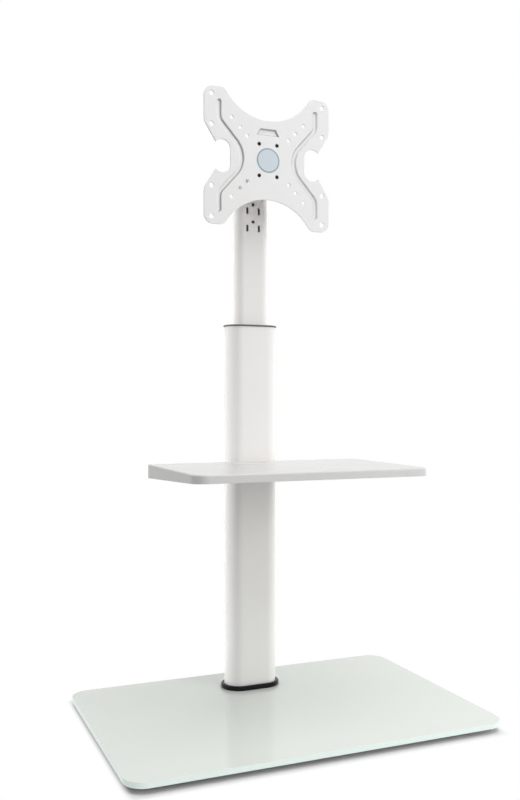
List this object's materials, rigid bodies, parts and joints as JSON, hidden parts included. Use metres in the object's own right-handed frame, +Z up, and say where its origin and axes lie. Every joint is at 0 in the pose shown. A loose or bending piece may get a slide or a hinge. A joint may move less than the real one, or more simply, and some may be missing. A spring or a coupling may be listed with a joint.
{
  "type": "television floor stand",
  "caption": "Floor stand for a television: glass base, telescoping flat-oval column, shelf and a swivelling plate with screw holes.",
  "frame": {"origin": "on the floor, under the middle of the glass base", "axes": "+Z up, -Y towards the viewer of the television, +X to the viewer's right"},
  "size_m": [0.6, 0.4, 1.0261],
  "materials": {
    "painted_glass": "polished, painted white on its underside",
    "white_paint": "smooth gloss powder coat",
    "black_gloss": "high gloss",
    "dark_plastic": "moulded, satin",
    "black_rubber": "matt",
    "zinc_steel": "bright zinc plate",
    "black_steel": "black oxide",
    "pale_nylon": "natural nylon"
  },
  "bodies": {
    "base": {"glass_base": "painted_glass", "foot_pad_1": "black_rubber", "foot_pad_2": "black_rubber", "foot_pad_3": "black_rubber", "foot_pad_4": "black_rubber", "foot_pad_5": "black_rubber", "foot_pad_6": "black_rubber", "under_gasket": "black_rubber", "under_plate": "zinc_steel", "glass_bush_1": "pale_nylon", "glass_bush_2": "pale_nylon", "glass_bush_3": "pale_nylon", "glass_bush_4": "pale_nylon", "base_bolt_1": "zinc_steel", "base_bolt_2": "zinc_steel", "base_bolt_3": "zinc_steel", "base_bolt_4": "zinc_steel", "foot_ring": "black_gloss", "column_foot": "zinc_steel", "lower_column": "white_paint", "cable_grommet_low": "black_rubber", "cable_grommet_high": "black_rubber", "collar": "dark_plastic", "lock_nut_1": "zinc_steel", "lock_nut_2": "zinc_steel", "lock_screw_1": "zinc_steel", "lock_screw_2": "zinc_steel", "shelf": "white_paint", "shelf_channel": "white_paint", "shelf_bolt_1": "zinc_steel", "shelf_bolt_2": "zinc_steel", "shelf_nut_plate": "zinc_steel"},
    "mast": {"upper_column": "white_paint", "lower_guide": "dark_plastic", "top_cap": "dark_plastic", "cable_grommet_mast": "black_rubber", "column_bracket": "white_paint", "bracket_bolt_1": "zinc_steel", "bracket_bolt_2": "zinc_steel", "pivot_bolt": "zinc_steel", "pivot_nut": "zinc_steel", "steel_washer_1": "zinc_steel", "steel_washer_2": "zinc_steel", "friction_washer_1": "pale_nylon", "friction_washer_2": "pale_nylon"},
    "head": {"swivel_head": "white_paint", "tv_plate": "white_paint", "plate_screw_1": "black_steel", "plate_screw_2": "black_steel", "plate_screw_3": "black_steel", "plate_screw_4": "black_steel"}
  },
  "joints": [
    {"name": "height_slide", "type": "slide", "parent": "base", "child": "mast", "axis": [0, 0, 1], "range_m": [-0.07, 0.08]},
    {"name": "swivel", "type": "hinge", "parent": "mast", "child": "head", "pos_m": [0, 0.077, 0.9136], "axis": [0, 0, 1], "range_deg": [-35, 35]}
  ]
}
